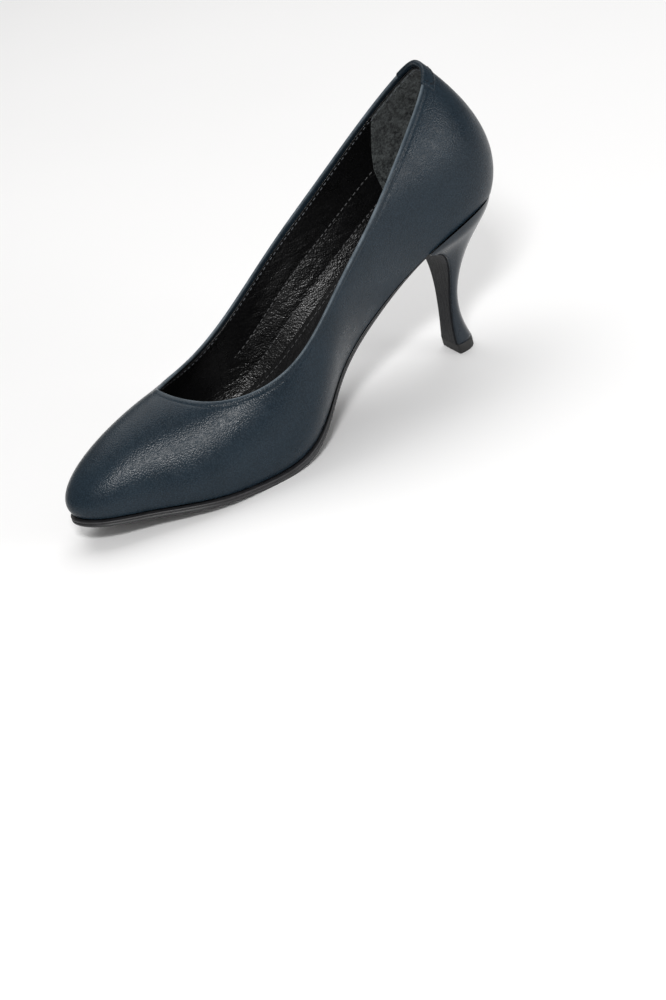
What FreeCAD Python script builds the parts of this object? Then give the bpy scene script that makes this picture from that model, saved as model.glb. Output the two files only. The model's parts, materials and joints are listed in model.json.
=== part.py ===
import FreeCAD, Part
import math
import os

# A classic high heel court pump for the right foot, in millimetres.
# Axes: X to the wearer's left (the inner side of this shoe), -Y to the toe, Z up.
# The shoe is laid out in its own plan first: u runs forward from the heel,
# v to the left and w up.  Every solid is moved to the row's axes at the end.

Vec = FreeCAD.Vector

# ---------------------------------------------------------------- driving sizes
plan_centre_u = 117.327     # middle of the shoe's plan length
plan_centre_v = 0.227       # middle of the shoe's plan width

upper_thick = 1.2           # outer leather
backer_thick = 0.8          # toe puff, heel counter and side backers share one layer
lining_thick = 0.9          # leather lining
grip_thick = 0.7            # suede heel grip on the lining
topline_skive = 0.72        # how much of each layer's thickness is left at the topline
lasting_margin = 9.0        # width of upper and lining turned in under the insole

insole_thick = 2.0
backpart_thick = 1.1        # stiff board under the rear half of the insole
shank_thick = 1.5
shank_width = 11.0
shank_shift = -2.6          # the waist runs a little to the outer side
shank_reach = (44.0, 120.0)
cushion_thick = 2.5         # heel cushion under the insock
cushion_fade = (40.0, 66.0) # where the cushion feathers out
cushion_end = 65.0
insock_thick = 0.9
backpart_end = 122.0
filler_reach = (124.0, 226.0)
toe_end = 240.0             # ahead of every bottom piece's tip
glue_gap = 0.3              # room between the lasted margin and the boards
glue_line = 0.05            # insock to insole board
insole_play = 0.25          # insole board to lining, round its edge
cavity_play = 0.6           # boards under the insole to the turned-in margin
insock_inset = 1.2          # insock's edge in from the lining
cushion_inset = 3.5

heel_lift_height = 4.8      # top piece
breast_flap_thick = 0.8
tube_radius = 1.7           # steel tube that stiffens the heel's stem
tube_bore = 1.1
tube_foot = (37.2, heel_lift_height)
tube_head = (33.2, 40.0)
top_pin_reach = 14.0
top_pin_below = 3.0         # the pin's length inside the top piece
head_sink = 0.1             # heads lie just under the insole board's top
nail_radius = 0.8
nail_head_radius = 1.7
nail_head_thick = 0.8
nail_length = 13.0
nail_places = [(19.0, -0.6), (25.0, 8.5), (25.0, -10.0), (35.0, 9.0), (35.0, -11.5)]
screw_radius = 2.0
screw_head_radius = 3.6
screw_head_thick = 1.4
screw_length = 20.0
screw_place = (32.0, -0.6)
rivet_radius = 1.5
rivet_head_radius = 2.6
rivet_head_thick = 0.7
rivet_places = [(56.0, shank_shift), (98.0, shank_shift)]

stitch_pitch = 3.0
stitch_length = 2.1
stitch_radius = 0.28
insock_stitch_inset = 6.5

stack_thick = upper_thick + backer_thick + lining_thick

# Height of the last's bottom edge above the floor, from heel to toe: (u, w).
bottom_profile = [
    (0.0, 69.5), (30.0, 64.2), (56.0, 53.8), (80.0, 41.0), (104.0, 24.6),
    (124.0, 10.0), (144.0, 3.3), (164.0, 3.9), (190.0, 7.4), (214.0, 11.2),
    (238.0, 15.2),
]
# Thickness of the outsole along the shoe: thin under the seat, full at the ball.
sole_profile = [
    (0.0, 1.0), (56.0, 1.0), (80.0, 2.0), (104.0, 2.8), (129.0, 3.3),
    (155.0, 3.3), (190.0, 3.1), (238.0, 2.9),
]

# Ribs of the upper's outer face from the back of the heel to the toe.  Each rib
# climbs from the bottom edge to the topline: ((u, centre v, half width) of the
# bottom edge), (u, half width, w) of two shaping points, and
# (u, centre v, half width, w) of the topline.
ribs = [
    ((4.3, 0.0, 0.0), (-5.8, 0.0, 84.5), (0.4, 0.0, 107.0), (21.2, 0.0, 0.0, 133.8)),
    ((10.0, -0.6, 14.8), (3.6, 19.0, 84.0), (8.2, 18.3, 108.0), (25.0, -0.4, 9.8, 129.0)),
    ((30.0, -1.8, 22.2), (26.5, 27.6, 80.0), (32.5, 26.6, 100.0), (44.0, -0.3, 18.8, 113.5)),
    ((56.0, -2.8, 20.0), (56.0, 26.4, 68.0), (62.0, 29.4, 82.0), (70.5, 0.3, 27.6, 93.0)),
    ((80.0, -3.0, 18.8), (81.0, 25.6, 54.0), (84.0, 31.6, 68.0), (87.5, 0.8, 31.2, 80.5)),
    ((104.0, -2.6, 21.4), (104.0, 29.0, 37.0), (104.0, 35.4, 54.0), (104.5, 1.2, 34.0, 67.8)),
    ((129.0, -0.4, 31.4), (129.0, 38.4, 17.5), (127.0, 40.0, 35.5), (127.0, 1.4, 35.6, 51.6)),
    ((155.0, -1.0, 34.2), (155.0, 40.0, 13.4), (150.0, 38.2, 31.0), (147.8, 0.2, 30.4, 42.9)),
    ((180.0, 1.4, 30.9), (180.5, 36.2, 16.6), (168.5, 29.2, 36.2), (163.4, -0.3, 21.6, 42.4)),
    ((205.0, 3.4, 19.8), (210.0, 25.0, 21.8), (187.0, 19.2, 39.4), (172.0, -0.4, 12.8, 44.6)),
    ((224.2, 4.8, 11.6), (233.0, 15.6, 25.8), (200.0, 10.2, 41.6), (176.4, -1.2, 6.4, 46.6)),
    ((233.2, 5.0, 0.0), (243.2, 0.0, 27.2), (208.5, 0.0, 42.4), (178.0, -1.6, 0.0, 47.4)),
]
heel_to_toe = len(ribs)
outer_heel_drop = 1.0       # the outer side's topline sits this much lower

# How far the outsole stands out from the upper's bottom edge, rib by rib.
sole_edge = [-0.8, -0.8, -0.8, -0.8, -0.4, 0.2, 1.6, 1.9, 1.9, 1.9, 1.9, 1.9]

# Heel block levels from the seat down to the top piece.  Each is a D in plan:
# (corner u, corner half width, corner w, back u, back w, side fullness).
heel_levels = [
    (50.0, 20.2, 76.0, 3.0, 76.0, 5.4),
    (50.0, 20.2, 63.0, 3.4, 71.0, 5.4),
    (48.8, 19.4, 56.4, 4.6, 66.8, 5.0),
    (43.8, 17.6, 55.0, 8.4, 62.4, 4.0),
    (38.4, 15.0, 52.4, 14.4, 56.2, 2.6),
    (35.8, 11.4, 44.6, 22.8, 47.0, 1.1),
    (36.6, 8.0, 33.0, 30.0, 34.4, 0.6),
    (38.5, 6.4, 22.0, 32.8, 23.0, 0.5),
    (39.7, 6.5, 12.5, 32.4, 12.5, 0.6),
    (40.5, 7.8, heel_lift_height, 30.0, heel_lift_height, 0.9),
]

# ---------------------------------------------------------------- small helpers


def spline(points):
    """Natural cubic spline through (x, y) points, as a function of x."""
    xs = [p[0] for p in points]
    ys = [p[1] for p in points]
    last = len(xs) - 1
    steps = [xs[i + 1] - xs[i] for i in range(last)]
    slopes = [(ys[i + 1] - ys[i]) / steps[i] for i in range(last)]
    bend = [0.0] * (last + 1)
    for _sweep in range(80):
        for i in range(1, last):
            pull = 6.0 * (slopes[i] - slopes[i - 1])
            pull -= steps[i - 1] * bend[i - 1] + steps[i] * bend[i + 1]
            bend[i] = pull / (2.0 * (steps[i - 1] + steps[i]))

    def value(x):
        i = 0
        while i < last - 1 and x > xs[i + 1]:
            i += 1
        a = (xs[i + 1] - x) / steps[i]
        b = (x - xs[i]) / steps[i]
        cubic = (a ** 3 - a) * bend[i] + (b ** 3 - b) * bend[i + 1]
        return a * ys[i] + b * ys[i + 1] + cubic * steps[i] ** 2 / 6.0

    return value


bottom_height = spline(bottom_profile)
sole_thickness = spline(sole_profile)


def sole_underside(u):
    return bottom_height(u) - sole_thickness(u)


def cushion_height(u):
    """Heel cushion's thickness, feathering out to a glue line ahead of the seat."""
    fade_from, fade_to = cushion_fade
    along_seat = min(max((u - fade_from) / (fade_to - fade_from), 0.0), 1.0)
    fade = 0.5 * (1.0 + math.cos(math.pi * along_seat))
    return glue_line + (cushion_thick - glue_line) * fade


def closed_poles(points):
    """Poles of the uniform periodic cubic B-spline that passes through points."""
    count = len(points)
    poles = list(points)
    for _sweep in range(60):
        for i in range(count):
            beside = poles[i - 1] + poles[(i + 1) % count]
            poles[i] = (points[i] * 6.0 - beside) * 0.25
    return poles


def unit(vector):
    result = Vec(vector)
    result.normalize()
    return result


def sewn_solid(faces):
    shell = Part.Shell(faces)
    shell.sewShape(0.005)
    solid = Part.Solid(shell)
    if solid.Volume < 0:
        solid.reverse()
    return solid


# ---------------------------------------------------------------- the last's skin
# The ribs go round the shoe once: outer side waist, back, inner side, toe and
# back along the outer side.  Only the loop's start differs from the list above.
start_rib = 3


def rib_points(index, side):
    """Bottom edge, two shaping points and topline point of one rib."""
    foot, low, high, top = ribs[index]
    drop = outer_heel_drop if side < 0 and 2 < index < heel_to_toe - 1 else 0.0
    low_centre = (2.0 * foot[1] + top[1]) / 3.0
    high_centre = (foot[1] + 2.0 * top[1]) / 3.0
    return [
        Vec(foot[0], foot[1] + side * foot[2], bottom_height(foot[0])),
        Vec(low[0], low_centre + side * low[1], low[2]),
        Vec(high[0], high_centre + side * high[1], high[2]),
        Vec(top[0], top[1] + side * top[2], top[3] - drop),
    ]


ring = [(i, -1) for i in range(start_rib, 0, -1)]
ring += [(i, 1) for i in range(heel_to_toe - 1)]
ring += [(i, -1) for i in range(heel_to_toe - 1, start_rib, -1)]
ring_size = len(ring)
back_at = start_rib
toe_at = start_rib + heel_to_toe - 1

base_rows = [[rib_points(i, side)[row] for i, side in ring] for row in range(4)]


def along(points, i):
    return points[(i + 1) % ring_size] - points[i - 1]


def inward_rows():
    """Inward direction at each shaping point of each rib."""
    rows = []
    for row in range(4):
        lower = base_rows[max(row - 1, 0)]
        upper = base_rows[min(row + 1, 3)]
        normals = []
        for i in range(ring_size):
            tangent = along(base_rows[row], i)
            if row == 0:
                tangent = Vec(tangent.x, tangent.y, 0.0)
                normals.append(unit(tangent.cross(Vec(0, 0, 1))))
            else:
                climb = upper[i] - lower[i]
                normals.append(unit(tangent.cross(climb)))
        rows.append(normals)
    return rows


inward = inward_rows()


def wall_rows(depth):
    """Pole rows of the face that lies depth inside the upper's outer face."""
    rows = []
    for row in range(4):
        scale = topline_skive if row == 3 else 1.0
        points = [p + n * (depth * scale) for p, n in zip(base_rows[row], inward[row])]
        if row == 0:
            points = [p + Vec(0, 0, depth) for p in points]
        rows.append(closed_poles(points))
    return rows


def flange_rows(depth, width=lasting_margin):
    """Pole rows of the margin turned in under the insole, at the same depth."""
    edge = []
    margin = []
    for i in range(ring_size):
        foot = base_rows[0][i] + inward[0][i] * depth + Vec(0, 0, depth)
        inner = base_rows[0][i] + inward[0][i] * width
        edge.append(foot)
        margin.append(Vec(inner.x, inner.y, bottom_height(inner.x) + depth))
    return [closed_poles(edge), closed_poles(margin)]


def patch(rows, t0, t1, s0=0.0, s1=1.0):
    """Part of the closed skin, cubic round the shoe and Bezier up the ribs."""
    degree = len(rows) - 1
    first = int(math.floor(t0))
    count = int(math.ceil(t1)) - first
    order = range(first - 1, first + count + 2)
    poles = [[row[k % ring_size] for row in rows] for k in order]
    knots = [float(k) for k in range(first - 3, first + count + 4)]
    skin = Part.BSplineSurface()
    skin.buildFromPolesMultsKnots(
        poles, [1] * len(knots), [degree + 1] * 2, knots, [0.0, 1.0], False, False, 3, degree
    )
    skin.segment(t0, t1, s0, s1)
    return skin


def ruled(edge_pair):
    return Part.makeRuledSurface(edge_pair[0].toShape(), edge_pair[1].toShape())


def layer(outer, inner, t0, t1, s0=0.0, s1=1.0, turned_in=False):
    """Solid between two depths of the skin, over part of the ring and the ribs."""
    walls = [patch(wall_rows(depth), t0, t1, s0, s1) for depth in (outer, inner)]
    feet = [patch(flange_rows(depth), t0, t1) for depth in (outer, inner)]
    faces = [skin.toShape() for skin in walls]
    faces.append(ruled([skin.vIso(s1) for skin in walls]))
    faces += [ruled([skin.uIso(t) for skin in walls]) for t in (t0, t1)]
    if turned_in:
        faces += [skin.toShape() for skin in feet]
        faces.append(ruled([skin.vIso(1.0) for skin in feet]))
        faces += [ruled([skin.uIso(t) for skin in feet]) for t in (t0, t1)]
    else:
        faces.append(ruled([skin.vIso(s0) for skin in walls]))
    return sewn_solid(faces)


def closed_layer(outer, inner, s0=0.0, turned_in=False):
    """A layer that runs the whole way round, joined at the back and at the toe."""
    near_half = layer(outer, inner, back_at, toe_at, s0, 1.0, turned_in)
    far_half = layer(outer, inner, toe_at, back_at + ring_size, s0, 1.0, turned_in)
    return near_half.fuse(far_half).Solids[0]


# ---------------------------------------------------------------- bottom pieces


def plan_prism(points, low=-5.0, high=150.0):
    """Upright prism over the closed smooth outline through points."""
    flat = [Vec(p.x, p.y, low) for p in points]
    outline = Part.BSplineCurve()
    outline.interpolate(Points=flat, PeriodicFlag=True)
    face = Part.Face(Part.Wire([outline.toShape()]))
    return face.extrude(Vec(0, 0, high - low))


def bottom_outline(grow):
    """Bottom edge moved outwards by grow, a number or one number per rib."""
    points = []
    for k, (i, _side) in enumerate(ring):
        amount = grow[i] if isinstance(grow, list) else grow
        points.append(base_rows[0][k] - inward[0][k] * amount)
    return points


def band(low, high, u0, u1, half_width=60.0):
    """Slab across the shoe between two height curves, from u0 to u1."""
    us = [-40.0 + 10.0 * k for k in range(30)]
    curves = []
    for height in (low, high):
        curve = Part.BSplineCurve()
        curve.interpolate([Vec(u, -half_width, height(u)) for u in us])
        curves.append(curve)
    below, above = curves
    ends = [
        Part.makeLine(below.EndPoint, above.EndPoint),
        Part.makeLine(above.StartPoint, below.StartPoint),
    ]
    outline = Part.Wire([below.toShape(), ends[0], above.toShape(), ends[1]])
    slice_box = Part.makeBox(u1 - u0, 2.0 * half_width, 400.0, Vec(u0, -half_width, -150.0))
    return Part.Face(outline).extrude(Vec(0, 2.0 * half_width, 0)).common(slice_box)


def raised(amount):
    return lambda u: bottom_height(u) + amount


def slab(points, low, high, u0, u1):
    piece = plan_prism(points).common(band(low, high, u0, u1))
    return piece.Solids[0]


# ---------------------------------------------------------------- the heel


def heel_section(level, angle):
    """Point on a heel level's D; angle 0 is the breast corner, pi/2 the back."""
    corner_u, corner_v, corner_w, back_u, back_w, fullness = level
    share = math.sin(angle)
    u = corner_u + (back_u - corner_u) * share
    v = corner_v * math.cos(angle) + fullness * math.sin(2.0 * angle)
    return Vec(u, v, corner_w + (back_w - corner_w) * share)


def heel_row(level):
    steps = 8
    angles = [0.5 * math.pi * k / steps for k in range(steps + 1)]
    left = [heel_section(level, a) for a in angles]
    right = [Vec(p.x, -p.y, p.z) for p in reversed(left[:-1])]
    return left + right


def clamped_knots(pole_count):
    inner = pole_count - 3
    return [4] + [1] * (inner - 1) + [4], [float(k) for k in range(inner + 1)]


def smooth_skin(rows):
    """Cubic B-spline surface with the given rows of poles."""
    row_mults, row_knots = clamped_knots(len(rows))
    col_mults, col_knots = clamped_knots(len(rows[0]))
    skin = Part.BSplineSurface()
    skin.buildFromPolesMultsKnots(
        rows, row_mults, col_mults, row_knots, col_knots, False, False, 3, 3
    )
    return skin


def smooth_curve(points):
    mults, knots = clamped_knots(len(points))
    curve = Part.BSplineCurve()
    curve.buildFromPolesMultsKnots(points, mults, knots, False, 3)
    return curve


def d_face(arc):
    edge = arc.toShape()
    chord = Part.makeLine(arc.EndPoint, arc.StartPoint)
    return Part.Face(Part.Wire([edge, chord]))


def heel_solid():
    side = smooth_skin([heel_row(level) for level in heel_levels])
    u0, u1, v0, v1 = side.bounds()
    faces = [side.toShape(), ruled([side.vIso(v0), side.vIso(v1)])]
    faces += [d_face(side.uIso(u)) for u in (u0, u1)]
    whole_heel = sewn_solid(faces)
    seat = band(sole_underside, lambda u: 90.0, -20.0, 90.0)
    return whole_heel.cut(seat).Solids[0]


def breast_points(offset):
    """Corner line of the breast in profile, moved forward off the block."""
    corner = [heel_section(level, 0.0) for level in heel_levels]
    points = []
    for k, point in enumerate(corner):
        run = corner[min(k + 1, len(corner) - 1)] - corner[max(k - 1, 0)]
        normal = unit(Vec(-run.z, 0, run.x))
        points.append(point + normal * offset)
    return points


def breast_skin(offset):
    rows = []
    for point in breast_points(offset):
        rows.append([Vec(point.x, point.y * share, point.z) for share in (1.0, 0.33, -0.33, -1.0)])
    return smooth_skin(rows)


def breast_flap():
    """Sheet of sole leather that covers the heel's breast."""
    skins = [breast_skin(0.0), breast_skin(breast_flap_thick)]
    u0, u1, v0, v1 = skins[0].bounds()
    faces = [skin.toShape() for skin in skins]
    faces += [ruled([skin.uIso(u) for skin in skins]) for u in (u0, u1)]
    faces += [ruled([skin.vIso(v) for skin in skins]) for v in (v0, v1)]
    seat = band(sole_underside, lambda u: 90.0, -20.0, 90.0)
    floor_cut = Part.makeBox(80.0, 80.0, heel_lift_height, Vec(0, -40.0, 0))
    return sewn_solid(faces).cut(seat).cut(floor_cut).Solids[0]


def d_prism(level, low, high):
    flat = [Vec(p.x, p.y, low) for p in heel_row(level)]
    return d_face(smooth_curve(flat)).extrude(Vec(0, 0, high - low))


# ---------------------------------------------------------------- threads


def stitch(centre, direction):
    start = centre - direction * (stitch_length * 0.5)
    return Part.makeCylinder(stitch_radius, stitch_length, start, direction)


def wall_stitches(depth, s, t0, t1, side):
    """Short round stitches laid on one height of a face of the skin."""
    skin = patch(wall_rows(depth), t0, t1)
    line = skin.vIso(s)
    count = int(line.toShape().Length / stitch_pitch)
    pieces = []
    for k in range(count):
        t = t0 + (t1 - t0) * (k + 0.5) / count
        normal = skin.normal(t, s) * side
        pieces.append(stitch(line.value(t) + normal * stitch_radius, unit(line.tangent(t)[0])))
    return Part.makeCompound(pieces)


def insock_stitches(outline_points, height):
    outline = Part.BSplineCurve()
    outline.interpolate(Points=[Vec(p.x, p.y, 0) for p in outline_points], PeriodicFlag=True)
    first, last = outline.FirstParameter, outline.LastParameter
    count = int(outline.toShape().Length / stitch_pitch)
    pieces = []
    for k in range(count):
        t = first + (last - first) * k / count
        point = outline.value(t)
        ahead = point + unit(outline.tangent(t)[0])
        point.z = height(point.x) + stitch_radius + glue_gap
        ahead.z = height(ahead.x) + stitch_radius + glue_gap
        pieces.append(stitch(point, unit(ahead - point)))
    return Part.makeCompound(pieces)


# ---------------------------------------------------------------- the pieces
nodes = {}
backer_out = upper_thick
lining_out = backer_out + backer_thick
grip_out = lining_out + lining_thick

# Heights on the ribs, as shares of the climb from the bottom edge to the topline.
tape_from = 0.9             # the topline tape takes the top tenth of its layer
lining_top = 0.985          # the lining stops just under the folded topline
grip_bottom = 0.12
grip_top = 0.94
tab_bottom = 0.9
topline_stitch_at = 0.955
tab_stitch_at = 0.915
lining_stitch_at = (0.24, 0.53)

# Places round the shoe, counted in ribs.
counter_from, counter_to = back_at - 3.0, back_at + 3.0
puff_from, puff_to = toe_at - 2.6, toe_at + 2.6
vamp_from, vamp_to = toe_at - 4.6, toe_at + 4.6
grip_from, grip_to = back_at - 2.3, back_at + 2.3
tab_from, tab_to = back_at - 1.15, back_at + 1.15
lining_seams = [
    (grip_to + 0.1, vamp_from - 0.2),
    (vamp_to + 0.2, ring_size + grip_from - 0.1),
]
tab_thick = 0.7

# Upper and what is sewn or cemented to it.
nodes["upper"] = closed_layer(0.0, backer_out, turned_in=True)
nodes["back_tab"] = layer(-tab_thick, 0.0, tab_from, tab_to, s0=tab_bottom)
nodes["topline_tape"] = closed_layer(backer_out, lining_out, s0=tape_from)
nodes["heel_counter"] = layer(backer_out, lining_out, counter_from, counter_to, s1=tape_from)
nodes["toe_puff"] = layer(backer_out, lining_out, puff_from, puff_to, s1=tape_from)
inner_side = (counter_to, puff_from)
outer_side = (puff_to, ring_size + counter_from)
nodes["inner_side_backer"] = layer(backer_out, lining_out, *inner_side, s1=tape_from)
nodes["outer_side_backer"] = layer(backer_out, lining_out, *outer_side, s1=tape_from)

# Linings, cut at the vamp and at the back seam, with a suede grip over the back.
quarters = {
    "vamp_lining": (vamp_from, vamp_to),
    "inner_quarter_lining": (back_at, vamp_from),
    "outer_quarter_lining": (vamp_to, ring_size + back_at),
}
for name, (t0, t1) in quarters.items():
    nodes[name] = layer(lining_out, grip_out, t0, t1, s1=lining_top, turned_in=True)
grip_faces = (grip_out, grip_out + grip_thick)
nodes["heel_grip"] = layer(*grip_faces, grip_from, grip_to, grip_bottom, grip_top)

# Insole assembly, from the boards up to the insock.
insole_low = stack_thick + glue_gap
insole_high = insole_low + insole_thick
inside = bottom_outline(-(stack_thick + insole_play))
cavity = bottom_outline(-(lasting_margin + cavity_play))


def insock_low(u):
    return bottom_height(u) + insole_high + cushion_height(u)


def insock_high(u):
    return insock_low(u) + insock_thick


nodes["insole_board"] = slab(inside, raised(insole_low), raised(insole_high), 0.0, toe_end)
backpart_low = insole_low - backpart_thick
nodes["backpart_board"] = slab(cavity, raised(backpart_low), raised(insole_low), 0.0, backpart_end)
shank_low = backpart_low - shank_thick
shank = band(raised(shank_low), raised(backpart_low), *shank_reach, shank_width * 0.5)
shank.translate(Vec(0, shank_shift, 0))
nodes["shank"] = shank
nodes["bottom_filler"] = slab(cavity, raised(glue_gap), raised(insole_low - glue_gap), *filler_reach)
sock_outline = bottom_outline(-(stack_thick + insock_inset))
nodes["insock"] = slab(sock_outline, insock_low, insock_high, 0.0, toe_end)
cushion_outline = bottom_outline(-(stack_thick + cushion_inset))
nodes["heel_cushion"] = slab(cushion_outline, raised(insole_high), insock_low, 0.0, cushion_end)
sock_seam = bottom_outline(-(stack_thick + insock_stitch_inset))
nodes["insock_stitches"] = insock_stitches(sock_seam, insock_high)

# Sole and heel.
outsole = slab(bottom_outline(sole_edge), sole_underside, raised(-glue_gap), 0.0, toe_end)
floor_half = Part.makeBox(400.0, 200.0, 20.0, Vec(-80.0, -100.0, -20.0))
nodes["outsole"] = outsole.cut(floor_half).Solids[0]
nodes["heel_block"] = heel_solid()
nodes["heel_breast_flap"] = breast_flap()
nodes["top_piece"] = d_prism(heel_levels[-1], 0.0, heel_lift_height)

# Threads.
whole_ring = (0.0, float(ring_size))
nodes["topline_stitches"] = wall_stitches(grip_out, topline_stitch_at, *whole_ring, 1.0)
nodes["back_tab_stitches"] = wall_stitches(-tab_thick, tab_stitch_at, tab_from, tab_to, -1.0)
seam_rows = []
for height in lining_stitch_at:
    seam_rows += [wall_stitches(grip_out, height, t0, t1, 1.0) for t0, t1 in lining_seams]
nodes["lining_stitches"] = Part.makeCompound([s for row in seam_rows for s in row.Solids])

# Metalwork.  Nails, screw and rivets stand square to the boards.


def headed_pin(place, radius, head_radius, head_thick, length):
    """Pin square to the insole, its head flush with the insole board's top."""
    u, v = place
    slope = bottom_height(u + 0.5) - bottom_height(u - 0.5)
    down = unit(Vec(slope, 0, -1.0))
    top = Vec(u, v, bottom_height(u) + insole_high - head_sink)
    shaft = Part.makeCylinder(radius, length, top, down)
    head = Part.makeCylinder(head_radius, head_thick, top, down)
    return shaft.fuse(head).removeSplitter().Solids[0]


nail_sizes = (nail_radius, nail_head_radius, nail_head_thick, nail_length)
nails = [headed_pin(place, *nail_sizes) for place in nail_places]
nodes["heel_nails"] = Part.makeCompound(nails)
screw_sizes = (screw_radius, screw_head_radius, screw_head_thick, screw_length)
nodes["heel_screw"] = headed_pin(screw_place, *screw_sizes)
rivet_length = insole_thick + backpart_thick + shank_thick
rivet_sizes = (rivet_radius, rivet_head_radius, rivet_head_thick, rivet_length)
rivets = [headed_pin(place, *rivet_sizes) for place in rivet_places]
nodes["shank_rivets"] = Part.makeCompound(rivets)

tube_start = Vec(tube_foot[0], 0.0, tube_foot[1])
tube_axis = unit(Vec(tube_head[0] - tube_foot[0], 0.0, tube_head[1] - tube_foot[1]))
tube_length = (Vec(tube_head[0], 0.0, tube_head[1]) - tube_start).Length
overrun = 2.0               # makes the tube's foot flush with the heel's flat bottom
tube_low = tube_start - tube_axis * overrun
tube_body = Part.makeCylinder(tube_radius, tube_length + overrun, tube_low, tube_axis)
tube_hole = Part.makeCylinder(tube_bore, tube_length + overrun, tube_low, tube_axis)
below_heel = Part.makeBox(60.0, 60.0, 10.0, Vec(0, -30.0, heel_lift_height - 10.0))
nodes["heel_tube"] = tube_body.cut(tube_hole).cut(below_heel)
pin_low = tube_start - tube_axis * top_pin_below
pin_length = top_pin_reach + top_pin_below
nodes["top_piece_pin"] = Part.makeCylinder(tube_bore, pin_length, pin_low, tube_axis)

for name in ("insole_board", "backpart_board", "shank", "outsole", "heel_block"):
    for hardware in ("heel_nails", "heel_screw", "shank_rivets"):
        nodes[name] = nodes[name].cut(nodes[hardware])
nodes["heel_block"] = nodes["heel_block"].cut(tube_body)
nodes["top_piece"] = nodes["top_piece"].cut(nodes["top_piece_pin"])

# ---------------------------------------------------------------- export
os.makedirs("parts", exist_ok=True)
for name, piece in nodes.items():
    placed = piece.copy()
    placed.translate(Vec(-plan_centre_u, -plan_centre_v, 0))
    placed.rotate(Vec(0, 0, 0), Vec(0, 0, 1), -90.0)
    placed.exportStep("parts/" + name + ".step")
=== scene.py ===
"""A navy leather high heel pump on a pale floor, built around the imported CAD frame."""
import json
import math

import bmesh
import bpy
import numpy as np
from mathutils import Matrix, Vector


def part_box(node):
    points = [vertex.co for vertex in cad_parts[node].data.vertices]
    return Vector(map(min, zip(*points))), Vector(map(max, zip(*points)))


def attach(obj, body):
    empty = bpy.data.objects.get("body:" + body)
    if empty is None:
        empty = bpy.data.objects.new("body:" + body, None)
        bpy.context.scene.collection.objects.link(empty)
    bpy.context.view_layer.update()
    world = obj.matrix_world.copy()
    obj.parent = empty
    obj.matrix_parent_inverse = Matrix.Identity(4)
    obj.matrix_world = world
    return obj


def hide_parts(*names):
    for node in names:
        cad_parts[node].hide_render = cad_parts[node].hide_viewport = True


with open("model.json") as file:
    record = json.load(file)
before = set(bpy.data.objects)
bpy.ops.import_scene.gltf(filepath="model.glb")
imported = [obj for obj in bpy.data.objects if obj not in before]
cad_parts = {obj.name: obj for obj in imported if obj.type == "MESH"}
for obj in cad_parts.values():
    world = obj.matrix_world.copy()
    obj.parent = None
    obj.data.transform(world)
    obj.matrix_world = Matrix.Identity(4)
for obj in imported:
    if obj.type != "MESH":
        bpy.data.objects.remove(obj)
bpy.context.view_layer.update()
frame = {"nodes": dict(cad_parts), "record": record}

# ------------------------------------------------------------------ the shoe's own sizes, in mm
# u runs forward from the heel, v to the wearer's left and w up, as in the CAD source.
UPPER, BACKER, LINING, GRIP = 1.2, 0.8, 0.9, 0.7
STACK = UPPER + BACKER + LINING
FOLD_DEPTH = UPPER + BACKER
SKIVE = 0.72                # share of each thickness left at the topline
ROLL = 0.78                 # the topline's roll starts this far under the topline
FOLD_BAND = 5.5             # how far the folded edge shows under the topline
MARGIN = 8.8                # reach of the lasting margin under the foot
LINING_DROP = 2.5           # linings end this far under the topline
SIDE_SEAM = 4.6             # ribs from the toe to the lining's side seams
RIB_GAP = 22.0              # rough distance between ribs round the wall
INSOLE_TOP = 5.2            # insole board's top above the last's bottom edge
CUSHION = 2.5               # foam under the insock, thinning out from CUSHION_FROM over CUSHION_RUN
CUSHION_FROM, CUSHION_RUN = 40.0, 26.0
INSOCK = 0.9
SOCK_LIP, SOCK_LIP_WIDTH = 1.3, 9.0     # the insock's upturned edge
TOP_PIECE = 4.8
OUTER_DROP = 1.0            # the outer topline runs this much lower
TAB_HALF = 1.15             # half width of the back strip, in ribs
TAB_PROUD, TAB_SUNK = 0.70, 0.25        # the strip's face over the upper, its edges under it
TAB_RIB_GAP = 15.0          # rough distance between ribs at the back
SEAM_HEIGHTS = (0.24, 0.53)             # the lining's stitched lines, as shares of the wall

# The last's bottom: u and the height of its edge above the floor.
BOTTOM = [
    (0.0, 69.5), (30.0, 64.2), (56.0, 53.8), (80.0, 41.0), (104.0, 24.6),
    (124.0, 10.0), (144.0, 3.3), (164.0, 3.9), (190.0, 7.4), (214.0, 11.2), (238.0, 15.2),
]
# The outsole: u and its thickness.
SOLE = [
    (0.0, 1.0), (56.0, 1.0), (80.0, 2.0), (104.0, 2.8), (129.0, 3.3),
    (155.0, 3.3), (190.0, 3.1), (238.0, 2.9),
]
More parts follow.
